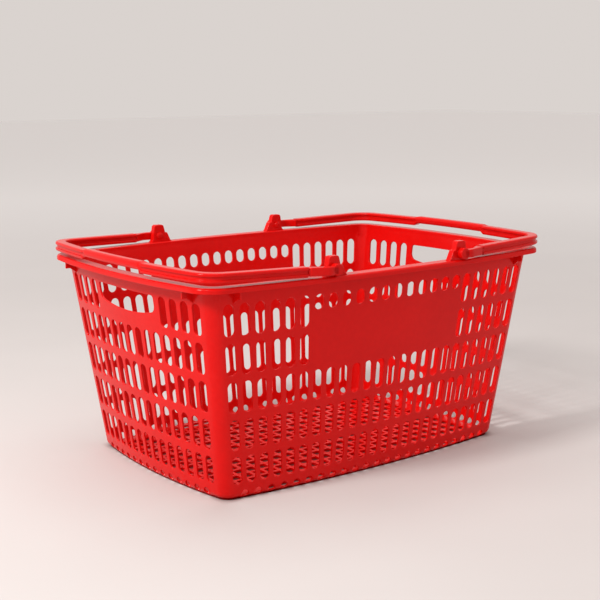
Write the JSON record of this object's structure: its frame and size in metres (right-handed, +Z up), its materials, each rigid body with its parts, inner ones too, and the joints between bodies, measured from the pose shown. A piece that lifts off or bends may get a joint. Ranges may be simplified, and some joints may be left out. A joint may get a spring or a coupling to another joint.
{
  "type": "shopping basket",
  "caption": "Red plastic hand-carried shopping basket: a tapered tub with slotted walls and a grid floor, and two bail handles folded onto the rim.",
  "frame": {"origin": "centre of the face the basket rests on", "axes": "+X along the long side, +Y across the basket, +Z up out of the mouth"},
  "size_m": [0.522, 0.3772, 0.2595],
  "materials": {
    "tub": "moulded gloss",
    "handles": "moulded gloss"
  },
  "bodies": {
    "tub": {"floor_grid": "tub", "wall_near_left": "tub", "wall_near_middle": "tub", "wall_near_right": "tub", "wall_far_left": "tub", "wall_far_middle": "tub", "wall_far_right": "tub", "wall_left_near": "tub", "wall_left_middle": "tub", "wall_left_far": "tub", "wall_right_near": "tub", "wall_right_middle": "tub", "wall_right_far": "tub", "corner_near_left": "tub", "corner_near_right": "tub", "corner_far_left": "tub", "corner_far_right": "tub", "rim_near_left": "tub", "rim_near_middle": "tub", "rim_near_right": "tub", "rim_far_left": "tub", "rim_far_middle": "tub", "rim_far_right": "tub", "rim_left_near": "tub", "rim_left_middle": "tub", "rim_left_far": "tub", "rim_right_near": "tub", "rim_right_middle": "tub", "rim_right_far": "tub", "rim_corner_near_left": "tub", "rim_corner_near_right": "tub", "rim_corner_far_left": "tub", "rim_corner_far_right": "tub", "lug_near_left": "tub", "lug_near_right": "tub", "lug_far_left": "tub", "lug_far_right": "tub", "fins_near": "tub", "fins_far": "tub", "fins_left": "tub", "fins_right": "tub"},
    "handle_left": {"grip_left": "handles", "bend_left_near": "handles", "bend_left_far": "handles", "arm_left_near": "handles", "arm_left_far": "handles", "hub_left_near": "handles", "hub_left_far": "handles"},
    "handle_right": {"grip_right": "handles", "bend_right_near": "handles", "bend_right_far": "handles", "arm_right_near": "handles", "arm_right_far": "handles", "hub_right_near": "handles", "hub_right_far": "handles"}
  },
  "joints": [
    {"name": "left_handle_hinge", "type": "hinge", "parent": "tub", "child": "handle_left", "pos_m": [-0.093, 0, 0.2455], "axis": [0, 1, 0], "range_deg": [0, 120]},
    {"name": "right_handle_hinge", "type": "hinge", "parent": "tub", "child": "handle_right", "pos_m": [0.093, 0, 0.2455], "axis": [0, -1, 0], "range_deg": [0, 120]}
  ]
}
